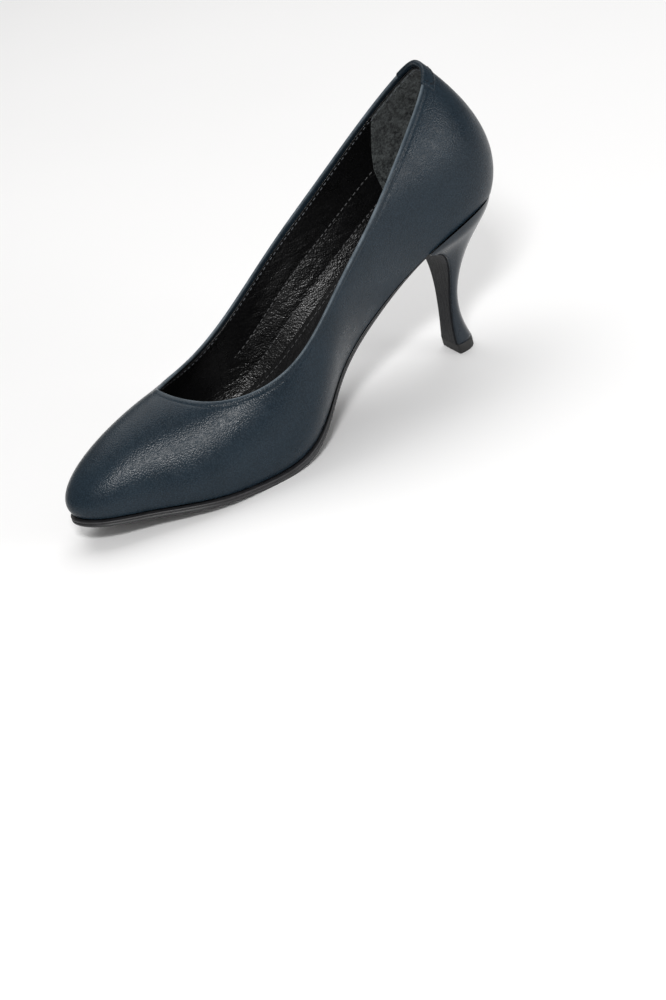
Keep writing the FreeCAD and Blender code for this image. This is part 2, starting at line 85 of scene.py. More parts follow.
# Ribs from heel to toe, four places up the wall of each: the foot (u, centre v, half width), two on
# the side (u, half width, height) and the topline (u, centre v, half width, height).
RIBS = [
    ((4.3, 0.0, 0.0), (-5.8, 0.0, 84.5), (0.4, 0.0, 107.0), (21.2, 0.0, 0.0, 133.8)),
    ((10.0, -0.6, 14.8), (3.6, 19.0, 84.0), (8.2, 18.3, 108.0), (25.0, -0.4, 9.8, 129.0)),
    ((30.0, -1.8, 22.2), (26.5, 27.6, 80.0), (32.5, 26.6, 100.0), (44.0, -0.3, 18.8, 113.5)),
    ((56.0, -2.8, 20.0), (56.0, 26.4, 68.0), (62.0, 29.4, 82.0), (70.5, 0.3, 27.6, 93.0)),
    ((80.0, -3.0, 18.8), (81.0, 25.6, 54.0), (84.0, 31.6, 68.0), (87.5, 0.8, 31.2, 80.5)),
    ((104.0, -2.6, 21.4), (104.0, 29.0, 37.0), (104.0, 35.4, 54.0), (104.5, 1.2, 34.0, 67.8)),
    ((129.0, -0.4, 31.4), (129.0, 38.4, 17.5), (127.0, 40.0, 35.5), (127.0, 1.4, 35.6, 51.6)),
    ((155.0, -1.0, 34.2), (155.0, 40.0, 13.4), (150.0, 38.2, 31.0), (147.8, 0.2, 30.4, 42.9)),
    ((180.0, 1.4, 30.9), (180.5, 36.2, 16.6), (168.5, 29.2, 36.2), (163.4, -0.3, 21.6, 42.4)),
    ((205.0, 3.4, 19.8), (210.0, 25.0, 21.8), (187.0, 19.2, 39.4), (172.0, -0.4, 12.8, 44.6)),
    ((224.2, 4.8, 11.6), (233.0, 15.6, 25.8), (200.0, 10.2, 41.6), (176.4, -1.2, 6.4, 46.6)),
    ((233.2, 5.0, 0.0), (243.2, 0.0, 27.2), (208.5, 0.0, 42.4), (178.0, -1.6, 0.0, 47.4)),
]
# How far the sole's edge stands out past the foot of each rib.
SOLE_EDGE = [-0.8, -0.8, -0.8, -0.3, 0.1, 0.4, 1.6, 1.9, 1.9, 1.9, 1.9, 1.9]
# Heel levels from the seat down: breast corner's u, v and height, back's u and height, side fullness.
HEEL = [
    (50.0, 20.2, 76.0, 3.0, 76.0, 5.4),
    (50.0, 20.2, 63.0, 3.4, 71.0, 5.4),
    (48.8, 19.4, 56.4, 4.6, 66.8, 5.0),
    (43.8, 17.6, 55.0, 8.4, 62.4, 4.0),
    (38.4, 15.0, 52.4, 14.4, 56.2, 2.6),
    (35.8, 11.4, 44.6, 22.8, 47.0, 1.1),
    (36.6, 8.0, 33.0, 30.0, 34.4, 0.6),
    (38.5, 6.4, 22.0, 32.8, 23.0, 0.5),
    (39.7, 6.5, 12.5, 32.4, 12.5, 0.6),
    (40.5, 7.8, TOP_PIECE, 30.0, TOP_PIECE, 0.9),
]
START = 3                   # ring place of the shoe's back
COUNT = len(RIBS)
TOE = START + COUNT - 1


# ------------------------------------------------------------------ curves and the last's skin
def spline(points):
    """Natural cubic spline through the points."""
    xs = np.array([p[0] for p in points])
    ys = np.array([p[1] for p in points])
    steps = np.diff(xs)
    size = len(xs)
    matrix = np.eye(size)
    right = np.zeros(size)
    for i in range(1, size - 1):
        matrix[i, i - 1:i + 2] = steps[i - 1], 2 * (steps[i - 1] + steps[i]), steps[i]
        right[i] = 6 * ((ys[i + 1] - ys[i]) / steps[i] - (ys[i] - ys[i - 1]) / steps[i - 1])
    bend = np.linalg.solve(matrix, right)

    def value(x):
        x = np.asarray(x, float)
        i = np.clip(np.searchsorted(xs, x) - 1, 0, size - 2)
        a = (xs[i + 1] - x) / steps[i]
        b = (x - xs[i]) / steps[i]
        cubic = (a ** 3 - a) * bend[i] + (b ** 3 - b) * bend[i + 1]
        return a * ys[i] + b * ys[i + 1] + cubic * steps[i] ** 2 / 6
    return value


bottom = spline(BOTTOM)
sole_thick = spline(SOLE)


def unit(a):
    """Vectors of length one, along the last axis."""
    return a / np.maximum(np.linalg.norm(a, axis=-1, keepdims=True), 1e-9)


def smooth(x):
    """Eased step from 0 to 1."""
    x = np.clip(x, 0.0, 1.0)
    return x * x * (3 - 2 * x)


def rib_points(index, side):
    """The four points of a rib on one side: +1 inner, -1 outer."""
    foot, low, high, top = RIBS[index]
    drop = OUTER_DROP if side < 0 and 2 < index < COUNT - 1 else 0.0
    low_centre = (2 * foot[1] + top[1]) / 3
    high_centre = (foot[1] + 2 * top[1]) / 3
    return [
        (foot[0], foot[1] + side * foot[2], float(bottom(foot[0]))),
        (low[0], low_centre + side * low[1], low[2]),
        (high[0], high_centre + side * high[1], high[2]),
        (top[0], top[1] + side * top[2], top[3] - drop),
    ]


ring = [(i, -1) for i in range(START, 0, -1)]
ring += [(i, 1) for i in range(COUNT - 1)]
ring += [(i, -1) for i in range(COUNT - 1, START, -1)]
RING = len(ring)
base = np.array([[rib_points(i, side)[row] for i, side in ring] for row in range(4)])


def inward_rows():
    """Directions into the shoe, square to the wall, for the four rows of rib points."""
    rows = []
    for row in range(4):
        tangent = np.roll(base[row], -1, 0) - np.roll(base[row], 1, 0)
        if row == 0:
            rows.append(unit(np.cross(tangent * [1, 1, 0], [0.0, 0.0, 1.0])))
        else:
            rows.append(unit(np.cross(tangent, base[min(row + 1, 3)] - base[row - 1])))
    return np.array(rows)


inward = inward_rows()
blending = np.zeros((RING, RING))
for k in range(RING):
    blending[k, k] = 4 / 6
    blending[k, (k + 1) % RING] = blending[k, k - 1] = 1 / 6
interpolate = np.linalg.inv(blending)


def poles(points):
    """B-spline poles whose closed curve passes through the points."""
    return interpolate @ points


depth_rows = inward.copy()
depth_rows[0] += [0, 0, 1]
depth_rows[3] *= SKIVE
skin_poles = np.array([poles(row) for row in base])
depth_poles = np.array([poles(row) for row in depth_rows])
inward_poles = poles(inward[0])


def round_curve(control, t):
    """Uniform periodic cubic B-spline over ring poles, at places t of any shape."""
    t = np.asarray(t, float)
    first = np.floor(t).astype(int)
    x = (t - first)[..., None]
    weights = (
        (1 - x) ** 3, 3 * x ** 3 - 6 * x ** 2 + 4, -3 * x ** 3 + 3 * x ** 2 + 3 * x + 1, x ** 3,
    )
    return sum(w * control[(first + k - 1) % RING] for k, w in enumerate(weights)) / 6


def skin(t, s, depth=0.0):
    """Point on the upper's skin: t round the shoe, s up the wall, depth inwards."""
    t, s, depth = np.broadcast_arrays(*(np.asarray(a, float) for a in (t, s, depth)))
    climb = ((1 - s) ** 3, 3 * s * (1 - s) ** 2, 3 * s * s * (1 - s), s ** 3)
    result = 0.0
    for k, weight in enumerate(climb):
        point = round_curve(skin_poles[k], t) + depth[..., None] * round_curve(depth_poles[k], t)
        result = result + weight[..., None] * point
    return result


def climb_at(t, s):
    """Direction up the wall in mm per unit of s."""
    return (skin(t, np.asarray(s) + 0.004) - skin(t, np.asarray(s) - 0.004)) / 0.008


def below_top(t, mm):
    """The height s that lies mm below the topline."""
    return 1.0 - mm / np.linalg.norm(climb_at(t, 0.98), axis=-1)


def level_inward(t):
    """Level direction into the shoe at the foot."""
    return unit(round_curve(inward_poles, t) * [1, 1, 0])


def foot(t, shift=0.0):
    """Bottom edge moved inwards by shift."""
    return round_curve(skin_poles[0], t) + level_inward(t) * shift


# The plan's own zero is placed by the CAD upper's box.
sample = skin(*np.meshgrid(np.linspace(0, RING, 600), np.linspace(0, 1, 60), indexing="ij"))
low_corner, high_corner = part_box("upper")
middle_u, middle_v = [(sample[..., c].max() + sample[..., c].min()) / 2 for c in (0, 1)]
CENTRE_U = middle_u + (high_corner[1] + low_corner[1]) * 500
CENTRE_V = middle_v - (high_corner[0] + low_corner[0]) * 500


def to_row(points):
    """Metres in the CAD frame from u, v and w."""
    points = np.asarray(points, float)
    x = points[..., 1] - CENTRE_V
    y = CENTRE_U - points[..., 0]
    return np.stack([x, y, points[..., 2]], -1) / 1000


# ------------------------------------------------------------------ mesh helpers
WELD = 1e-5


def at_run(run, values, place):
    """Point or direction at a distance along a line."""
    return np.array([np.interp(place, run, values[:, c]) for c in range(3)])


def run_along(points):
    """Distance travelled at each point of a line."""
    return np.concatenate([[0], np.cumsum(np.linalg.norm(np.diff(points, axis=0), axis=1))])


def edge_round(x, width):
    """Rises from 0 to 1 like a quarter round over width."""
    x = np.clip(x / width, 0.0, 1.0)
    return np.sqrt(1 - (1 - x) ** 2)


def mesh_object(name, grids, material, highlight_and_wear=None):
    """One mesh from grids of points: (points, wraps along rows, wraps along columns).

    The last argument holds one share of painted edge highlight and wear for each row of the first grid.
    """
    verts, faces = [], []
    for points, wrap_rows, wrap_cols in grids:
        rows, cols = points.shape[:2]
        start = len(verts)
        verts.extend(map(tuple, to_row(points).reshape(-1, 3)))
        for i in range(rows if wrap_rows else rows - 1):
            for j in range(cols if wrap_cols else cols - 1):
                a, b = (i + 1) % rows, (j + 1) % cols
                faces.append([start + i * cols + j, start + a * cols + j,
                              start + a * cols + b, start + i * cols + b])
    mesh = bpy.data.meshes.new(name)
    mesh.from_pydata(verts, [], faces)
    if highlight_and_wear is not None:
        highlight_wear_layer = mesh.attributes.new("highlight_and_wear", "FLOAT", "POINT")
        highlight_wear_layer.data.foreach_set("value", np.repeat(highlight_and_wear, grids[0][0].shape[1]).astype(np.float32))
    work = bmesh.new()
    work.from_mesh(mesh)
    bmesh.ops.remove_doubles(work, verts=work.verts, dist=WELD)
    bmesh.ops.recalc_face_normals(work, faces=work.faces)
    for face in work.faces:
        face.smooth = True
    work.to_mesh(mesh)
    work.free()
    piece = bpy.data.objects.new(name, mesh)
    bpy.context.scene.collection.objects.link(piece)
    mesh.materials.append(material)
    return piece


def finish_piece(piece, node):
    """The piece rides the shoe's one body and stands in for a CAD node."""
    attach(piece, "root")
    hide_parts(node)


def capsule(centre, along, up, length, radius):
    """Round-ended stitch lying along a direction, flattened a little against its surface."""
    along, up = unit(along), unit(up)
    side = np.cross(along, up)
    grid = []
    for x in np.linspace(-1, 1, 9):
        fat = radius * math.sqrt(max(1 - abs(x) ** 3.0, 0.0))
        spine = centre + along * x * length / 2 - up * 0.55 * radius * abs(x) ** 3
        turns = np.linspace(0, 2 * math.pi, 8, endpoint=False)
        grid.append([spine + up * 0.75 * fat * math.sin(a) + side * fat * math.cos(a) for a in turns])
    return np.array(grid), False, True


def stitch_row(points, normals, pitch, length, radius):
    """Stitches spaced evenly along a line of points."""
    run = run_along(points)
    count = max(int(run[-1] / pitch), 1)
    grids = []
    for k in range(count):
        place = (k + 0.5) * run[-1] / count
        along = at_run(run, points, place + 0.3) - at_run(run, points, place - 0.3)
        up = at_run(run, normals, place)
        grids.append(capsule(at_run(run, points, place), along, up, length, radius))
    return grids


# ------------------------------------------------------------------ materials
class Nodes:
    """Small helper that wires a procedural material."""

    def __init__(self, name):
        self.material = bpy.data.materials.new(name)
        self.material.use_nodes = True
        self.tree = self.material.node_tree
        self.tree.nodes.clear()
        self.shader = self.tree.nodes.new("ShaderNodeBsdfPrincipled")
        output = self.tree.nodes.new("ShaderNodeOutputMaterial")
        self.link(self.shader.outputs[0], output.inputs[0])
        self.place = self.tree.nodes.new("ShaderNodeTexCoord").outputs["Object"]

    def link(self, source, target):
        self.tree.links.new(source, target)

    def scaled(self, scale, turn=0.0):
        node = self.tree.nodes.new("ShaderNodeMapping")
        node.inputs["Scale"].default_value = scale
        node.inputs["Rotation"].default_value = (turn, 0, 0)
        self.link(self.place, node.inputs["Vector"])
        return node.outputs[0]

    def noise(self, scale, detail=3.0, rough=0.5, distort=0.0, vector=None):
        node = self.tree.nodes.new("ShaderNodeTexNoise")
        node.inputs["Scale"].default_value = scale
        node.inputs["Detail"].default_value = detail
        node.inputs["Roughness"].default_value = rough
        node.inputs["Distortion"].default_value = distort
        self.link(vector or self.place, node.inputs["Vector"])
        return node.outputs[0]

    def cells(self, scale):
        node = self.tree.nodes.new("ShaderNodeTexVoronoi")
        node.inputs["Scale"].default_value = scale
        self.link(self.place, node.inputs["Vector"])
        return node.outputs["Distance"]

    def remap(self, value, low, high, out_low, out_high):
        node = self.tree.nodes.new("ShaderNodeMapRange")
        node.inputs["From Min"].default_value = low
        node.inputs["From Max"].default_value = high
        node.inputs["To Min"].default_value = out_low
        node.inputs["To Max"].default_value = out_high
        self.link(value, node.inputs["Value"])
        return node.outputs[0]

    def sum(self, a, b, share=1.0):
        node = self.tree.nodes.new("ShaderNodeMath")
        node.operation = "MULTIPLY_ADD"
        self.link(b, node.inputs[0])
        node.inputs[1].default_value = share
        self.link(a, node.inputs[2])
        return node.outputs[0]

    def blend(self, value, first, second):
        node = self.tree.nodes.new("ShaderNodeMix")
        node.data_type = "RGBA"
        for key, tone in (("A", first), ("B", second)):
            if isinstance(tone, bpy.types.NodeSocket):
                self.link(tone, node.inputs[key])
            else:
                node.inputs[key].default_value = (*tone, 1)
        self.link(value, node.inputs["Factor"])
        return node.outputs["Result"]

    def times(self, a, b):
        node = self.tree.nodes.new("ShaderNodeMath")
        node.operation = "MULTIPLY"
        self.link(a, node.inputs[0])
        self.link(b, node.inputs[1])
        return node.outputs[0]

    def carried(self, attribute):
        node = self.tree.nodes.new("ShaderNodeAttribute")
        node.attribute_name = attribute
        return node.outputs["Fac"]

    def bump(self, height, distance, under=None):
        node = self.tree.nodes.new("ShaderNodeBump")
        node.inputs["Distance"].default_value = distance
        node.inputs["Strength"].default_value = 1.0
        self.link(height, node.inputs["Height"])
        if under is not None:
            self.link(under, node.inputs["Normal"])
        return node.outputs[0]

    def put(self, **values):
        names = {
            "color": "Base Color", "roughness": "Roughness", "normal": "Normal",
            "specular": "Specular IOR Level", "coat": "Coat Weight",
            "coat_roughness": "Coat Roughness", "sheen": "Sheen Weight",
            "sheen_roughness": "Sheen Roughness", "metallic": "Metallic",
        }
        for key, value in values.items():
            socket = self.shader.inputs[names[key]]
            if isinstance(value, bpy.types.NodeSocket):
                self.link(value, socket)
            elif key == "color":
                socket.default_value = (*value, 1)
            else:
                socket.default_value = value
        return self.material


def leather(name, dark, light, rough, grain, depth, wave, specular, wrinkle=0.0, highlight_wear_tone=None):
    """Grained leather: pebbled cells, fine pores, slow tone drift, and edges painted paler as a highlight,
    with some wear.
    """
    n = Nodes(name)
    drift = n.noise(28.0, 4.0, 0.6)
    cell = n.cells(grain)
    pore = n.noise(grain * 1.7, 2.0, 0.6)
    # Cell tops lighter, creases between them darker: partly the grain's own tone, partly painted shade in
    # the creases and painted glints on the tops.
    tone = n.sum(n.remap(drift, 0.3, 0.7, 0.05, 0.45), n.remap(cell, 0.15, 0.65, 0.5, 0.0))
    tone = n.sum(tone, n.remap(pore, 0.35, 0.65, -0.15, 0.15))
    slow = n.bump(n.noise(65.0, 2.0, 0.5), wave)
    if wrinkle:
        streaks = n.noise(1.0, 4.0, 0.6, 0.6, n.scaled((260.0, 60.0, 260.0), 0.25))
        slow = n.bump(streaks, wrinkle, slow)
    grainy = n.bump(n.sum(n.remap(cell, 0.0, 0.8, 1.0, 0.0), pore, 0.35), depth, slow)
    rough_map = n.remap(n.noise(190.0, 3.0, 0.6), 0.3, 0.7, rough - 0.05, rough + 0.06)
    color = n.blend(tone, dark, light)
    # The topline edge is painted paler: a painted highlight along the roll, mixed with patchy wear.
    if highlight_wear_tone:
        patchy = n.remap(n.noise(120.0, 4.0, 0.65), 0.3, 0.65, 0.35, 1.0)
        color = n.blend(n.times(n.carried("highlight_and_wear"), patchy), color, highlight_wear_tone)
    return n.put(color=color, roughness=rough_map, normal=grainy, specular=specular)


def suede(name):
    """Napped black leather, mottled where the nap lies different ways."""
    n = Nodes(name)
    nap = n.noise(900.0, 4.0, 0.7, 0.4)
    patch = n.noise(230.0, 5.0, 0.72, 0.8)
    tone = n.sum(n.remap(patch, 0.38, 0.62, 0.1, 0.75), n.remap(nap, 0.42, 0.58, -0.2, 0.35))
    color = n.blend(tone, (0.010, 0.0120, 0.0130), (0.125, 0.138, 0.138))
    surface = n.bump(nap, 0.00055, n.bump(patch, 0.0012))
    return n.put(color=color, roughness=0.93, normal=surface, specular=0.15, sheen=0.2,
                 sheen_roughness=0.45)


def plain(name, dark, light, rough, scale=300.0, depth=0.00002, coat=0.0, specular=0.5, metallic=0.0,
          stretch=None):
    """Moulded, woven or metal parts: two tones, roughness drift and a fine surface; stretched, the two
    tones run as streaks, which on the breast are a painted reflection.
    """
    n = Nodes(name)
    where = n.scaled(stretch) if stretch else None
    mottle_and_reflection_streaks = n.noise(1.0 if stretch else scale, 4.0, 0.6, 0.0, where)
    fine = n.noise(scale * 4, 2.0, 0.5)
    return n.put(color=n.blend(n.remap(mottle_and_reflection_streaks, 0.3, 0.7, 0.0, 1.0), dark, light),
                 roughness=n.remap(mottle_and_reflection_streaks, 0.3, 0.7, rough - 0.05, rough + 0.07),
                 normal=n.bump(n.sum(mottle_and_reflection_streaks, fine, 0.4), depth), coat=coat, coat_roughness=0.2,
                 specular=specular, metallic=metallic)


def thread(name, dark, light):
    """Twisted thread: a fine diagonal ply over a soft matt fibre."""
    n = Nodes(name)
    ply = n.tree.nodes.new("ShaderNodeTexWave")
    ply.bands_direction = "DIAGONAL"
    ply.inputs["Scale"].default_value = 900.0
    ply.inputs["Distortion"].default_value = 1.5
    n.link(n.place, ply.inputs["Vector"])
    return n.put(color=n.blend(ply.outputs["Fac"], dark, light), roughness=0.6,
                 normal=n.bump(ply.outputs["Fac"], 0.00006), specular=0.2)


calf = {
    "dark": (0.0048, 0.0102, 0.0158), "light": (0.0170, 0.0295, 0.0420), "rough": 0.30,
    "grain": 1450.0, "depth": 0.00007, "wave": 0.00006, "specular": 0.20,
}
# Its paler edge tone is a painted highlight along the topline's roll, together with wear.
upper_leather = leather("upper_leather", **calf, highlight_wear_tone=(0.115, 0.142, 0.165))
strip_leather = leather("strip_leather", **calf)
lining_leather = leather("lining_leather", (0.0020, 0.0020, 0.0022), (0.0055, 0.0055, 0.0060), 0.30,
                         grain=1250.0, depth=0.00011, wave=0.0004, wrinkle=0.0005, specular=0.42)
insock_leather = leather("insock_leather", (0.0060, 0.0060, 0.0063), (0.0140, 0.0140, 0.0146), 0.34,
                         grain=1100.0, depth=0.00009, wave=0.0004, specular=0.38, wrinkle=0.0006)
suede_black = suede("suede")
sole_rubber = plain("sole_rubber", (0.0120, 0.0120, 0.0132), (0.0230, 0.0230, 0.0250), 0.40, 420.0,
                    0.00003)
heel_lacquer = plain("heel_lacquer", (0.0050, 0.0105, 0.0170), (0.0085, 0.0160, 0.0245), 0.28, 90.0,
                     0.00003, coat=0.22, specular=0.3)
# The breast's dark covering is its own colour; its paler vertical streaks are a painted reflection.
breast_leather = plain("breast_leather", (0.0020, 0.0024, 0.0032), (0.0110, 0.0125, 0.0155), 0.46,
                       300.0, 0.00025, specular=0.15, stretch=(1700.0, 1700.0, 22.0))
top_piece_rubber = plain("top_piece_rubber", (0.0070, 0.0070, 0.0072), (0.0150, 0.0150, 0.0148), 0.62,
                         900.0, 0.00006)
upper_thread = thread("upper_thread", (0.002, 0.003, 0.005), (0.010, 0.013, 0.018))
# The topline thread's pale grey is a painted highlight: stitches that catch the light.
highlit_topline_thread = thread("topline_thread", (0.060, 0.066, 0.074), (0.180, 0.190, 0.205))
insock_thread = thread("insock_thread", (0.045, 0.045, 0.046), (0.170, 0.170, 0.175))

# ------------------------------------------------------------------ the upper
COLUMNS_PER_RIB = 16
t_all = np.arange(RING * COLUMNS_PER_RIB) / COLUMNS_PER_RIB
roll_angles = np.linspace(0, math.pi, 11)


def fold(t, thick_out, thick_in):
    """Rows that roll over the topline from the outer face to the inner one."""
    s_roll = below_top(t, ROLL)
    outer = skin(t, s_roll, thick_out)
    inner = skin(t, s_roll, thick_in)
    centre = (outer + inner) / 2
    arm = (outer - inner) / 2
    rise = unit(climb_at(t, s_roll)) * np.linalg.norm(arm, axis=-1, keepdims=True)
    return [centre + arm * math.cos(a) + rise * math.sin(a) for a in roll_angles]


def fold_mark(below):
    """The folded edge: a soft bead at the topline and a shallow crease under it."""
    return 0.16 * np.exp(-((below - 2.9) / 0.55) ** 2) - 0.10 * np.exp(-((below - 1.7) / 0.6) ** 2)


def upper_rows(t):
    """Rows from the lasting margin up the wall, over the topline and a little way down inside."""
    rows = []
    start = foot(t)
    inner = level_inward(t)
    for reach in (MARGIN, 5.0, 1.6):
        point = start + inner * reach
        point[..., 2] = bottom(point[..., 0])
        rows.append(point)
    turn = (0.45 + 0.6 * smooth((start[:, 0] - 50.0) / 40.0))[:, None]
    up = unit(climb_at(t, 0.004))
    for angle in np.linspace(math.pi / 2, 0.15, 6):
        rows.append(start + up * turn * (1 - math.sin(angle)) + inner * turn * (1 - math.cos(angle)))
    s_first = turn[:, 0] / np.linalg.norm(climb_at(t, 0.02), axis=-1)
    s_rim = below_top(t, FOLD_BAND)
    for share in np.linspace(0, 1, 50)[:-1]:
        rows.append(skin(t, s_first + (s_rim - s_first) * share))
    for drop in band_drops:
        rows.append(skin(t, below_top(t, drop), fold_mark(drop)))
    rows.extend(fold(t, 0.0, FOLD_DEPTH))
    for drop in inside_drops:
        rows.append(skin(t, below_top(t, drop), FOLD_DEPTH))
    return np.array(rows)


def edge_highlight_and_wear(count):
    """Share of painted highlight and wear for each of the upper's rows, all of it close to the topline."""
    edge_drops = np.concatenate([band_drops, ROLL * (1 - np.sin(roll_angles))])
    bare_inside = np.zeros(len(inside_drops))
    # Painted highlight and wear, strongest at the roll and fading down the folded band.
    lit_and_worn_edge = np.exp(-(edge_drops / 0.75) ** 2)
    return np.concatenate([np.zeros(count - len(lit_and_worn_edge) - len(bare_inside)), lit_and_worn_edge, bare_inside])


band_drops = np.linspace(FOLD_BAND, ROLL, 34)[:-1]
inside_drops = (1.6, 2.6, 4.2, 6.0)
shell = upper_rows(t_all)
upper = mesh_object("upper_shell", [(shell, False, True)], upper_leather, edge_highlight_and_wear(len(shell)))
finish_piece(upper, "upper")


def tape_rows(t):
    """Reinforcing tape laid inside the fold, just under the roll."""
    drops = np.linspace(5.4, 1.1, 6)
    outer = [skin(t, below_top(t, drop), UPPER + 0.05) for drop in drops]
    inner = [skin(t, below_top(t, drop), FOLD_DEPTH - 0.05) for drop in drops[::-1]]
    return np.array(outer + inner)


tape_look = plain("tape", (0.02, 0.02, 0.022), (0.05, 0.05, 0.055), 0.8, 900.0, 0.0001)
tape = mesh_object("topline_tape_band", [(tape_rows(t_all), True, True)], tape_look)
finish_piece(tape, "topline_tape")

# Strip that wraps the topline over the back seam.
tab_t = START + TAB_HALF * np.sin(np.linspace(-math.pi / 2, math.pi / 2, 90))
tab_ends = edge_round((TAB_HALF - np.abs(tab_t - START)) * TAB_RIB_GAP, 0.8)


def tab_depth(share):
    """Depth of the strip's face, from sunk in the upper (share 0) to fully proud of it (share 1)."""
    return TAB_SUNK - (TAB_SUNK + TAB_PROUD) * share * tab_ends


def tab_rows():
    """Rows up the outside of the strip, over the topline and down inside, its edges sunk in."""
    rows = []
    for drop, share in ((6.35, 0.0), (6.32, 0.35), (6.2, 0.7), (5.95, 0.92), (5.6, 1.0), (5.0, 1.0),
                        (4.0, 1.0), (3.0, 1.0), (2.0, 1.0), (1.3, 1.0)):
        rows.append(skin(tab_t, below_top(tab_t, drop), tab_depth(share)))
    rows.extend(fold(tab_t, tab_depth(1.0), FOLD_DEPTH - tab_depth(1.0)))
    for drop, share in ((1.4, 1.0), (1.9, 0.9), (2.1, 0.4), (2.15, 0.0)):
        rows.append(skin(tab_t, below_top(tab_t, drop), FOLD_DEPTH - tab_depth(share)))
    return np.array(rows)


tab = mesh_object("back_strip", [(tab_rows(), False, False)], strip_leather)
finish_piece(tab, "back_tab")

# ------------------------------------------------------------------ linings
SEAM_END = SIDE_SEAM + 0.2
SEAM_SPANS = ((START + 2.4, TOE - SEAM_END), (TOE + SEAM_END, RING + START - 2.4))


def ribs_from(rib, t):
    """Distance from a rib along the ring, in ribs."""
    return np.abs((t - rib + RING / 2) % RING - RING / 2)


def seam_puff(t, s):
    """Soft fullness of the quarter lining between its two stitched lines."""
    climb = np.linalg.norm(climb_at(t, 0.4), axis=-1)
    gap = np.min([np.abs(s - height) for height in SEAM_HEIGHTS], axis=0) * climb
    from_vamp = ribs_from(TOE, t) - SEAM_END
    stay = smooth(from_vamp / 0.4) * smooth(s / 0.06) * smooth((0.9 - s) / 0.1)
    return 0.26 * (1 - np.exp(-(gap / 2.4) ** 2)) * stay


def lining_rows(t, depth):
    """Rows up the lining's inner face, its depth given at each place along t, and over its top edge."""
    margin = foot(t, MARGIN)
    margin[..., 2] = bottom(margin[..., 0]) + STACK
    rows = [margin]
    s_top = below_top(t, LINING_DROP)
    for share in np.linspace(0, 1, 90):
        s = s_top * share - 0.006 * (share == 1)
        rows.append(skin(t, s, depth + seam_puff(t, s)))
    for angle in np.linspace(0.3, math.pi / 2, 4):
        lip = s_top + (math.sin(angle) - 1) * 0.006
        rows.append(skin(t, lip, depth - 0.45 * (1 - math.cos(angle))))
    rows.append(skin(t, s_top - 0.002, FOLD_DEPTH - 0.05))
    return np.array(rows)


def lining_piece(name, node, t0, t1, lap):
    """A lining between two ribs, its ends raised by lap where it lies over its neighbour."""
    t = np.linspace(t0, t1, int((t1 - t0) * COLUMNS_PER_RIB))
    nearest = np.minimum(np.abs(t - t0), np.abs(t - t1)) * RIB_GAP
    depth = STACK + lap * (1 - smooth((nearest - 4.0) / 8.0)) * edge_round(nearest + 0.05, 0.5)
    piece = mesh_object(name, [(lining_rows(t, depth), False, False)], lining_leather)
    finish_piece(piece, node)


UNDERLAP = 0.12             # ribs that the vamp lining runs on under the quarter linings
OVERLAP = 0.45              # mm that their ends stand higher over it
lining_piece("vamp_lining_skin", "vamp_lining", TOE - SIDE_SEAM - UNDERLAP, TOE + SIDE_SEAM + UNDERLAP, 0.0)
lining_piece("inner_lining_skin", "inner_quarter_lining", START, TOE - SIDE_SEAM, OVERLAP)
lining_piece("outer_lining_skin", "outer_quarter_lining", TOE + SIDE_SEAM, RING + START, OVERLAP)


def grip_rows():
    """Suede over the heel's inside, its front edge bowed forward towards the sole."""
    across = np.sin(np.linspace(-math.pi / 2, math.pi / 2, 120))
    rows = []
    for share in np.linspace(0, 1, 60):
        s_mid = 0.06 + 0.88 * share
        reach = 2.43 - 1.35 * max(s_mid - 0.33, 0.0) ** 2
        t = START + reach * across
        s = 0.06 + (below_top(t, LINING_DROP + 0.35) - 0.06) * share
        edge = edge_round((1 - np.abs(across)) * reach * 14.0, 0.9)
        edge = np.minimum(edge, edge_round(np.array((1 - share) * 60.0), 0.9))
        rows.append(skin(t, s, STACK - 0.25 + (GRIP + 0.25) * edge))
    return np.array(rows)


grip = mesh_object("heel_grip_suede", [(grip_rows(), False, False)], suede_black)
finish_piece(grip, "heel_grip")


# ------------------------------------------------------------------ insock
def cushion(u):
    """Thickness of the foam under the insock, which fades out in front of the heel."""
    along = np.clip((u - CUSHION_FROM) / CUSHION_RUN, 0.0, 1.0)
    return 0.05 + (CUSHION - 0.05) * 0.5 * (1 + np.cos(math.pi * along))


def insock_top(u):
    """Height of the insock's upper face along the middle."""
    return bottom(u) + INSOLE_TOP + 0.1 + cushion(u) + INSOCK


def ribs_along(count):
    """Places from heel to toe, closer together at both ends."""
    return (COUNT - 1) * (1 - np.cos(np.linspace(0, math.pi, count))) / 2


def bridge(right, left, across):
    """Lines from the right edge to the left edge, across from -1 to 1."""
    p = (across[None, :, None] + 1) / 2
    return right[:, None] * (1 - p) + left[:, None] * p


def sock_lift(from_edge):
    """The insock turns up a little where it meets the wall."""
    return SOCK_LIP * np.clip(1 - from_edge / SOCK_LIP_WIDTH, 0, 1) ** 2


SOCK_GAP = 0.35
sock_places = ribs_along(240)
sock_across = np.sin(np.linspace(-math.pi / 2, math.pi / 2, 64))
sock_edges = [foot(START + side * sock_places, STACK + SOCK_GAP) for side in (-1, 1)]
sock = bridge(*sock_edges, sock_across)
half = np.linalg.norm(sock[:, -1] - sock[:, 0], axis=-1)[:, None] / 2
from_edge = (1 - np.abs(sock_across))[None] * half
lift = sock_lift(from_edge)
sock[..., 2] = insock_top(sock[..., 0]) + lift - 0.9 * (1 - edge_round(from_edge, 0.7))
skirt = sock.copy()
skirt[..., 2] = insock_top(sock[..., 0]) - INSOCK
insock = mesh_object("insock_leather_sheet", [(sock, False, False), (skirt, False, False)], insock_leather)
finish_piece(insock, "insock")

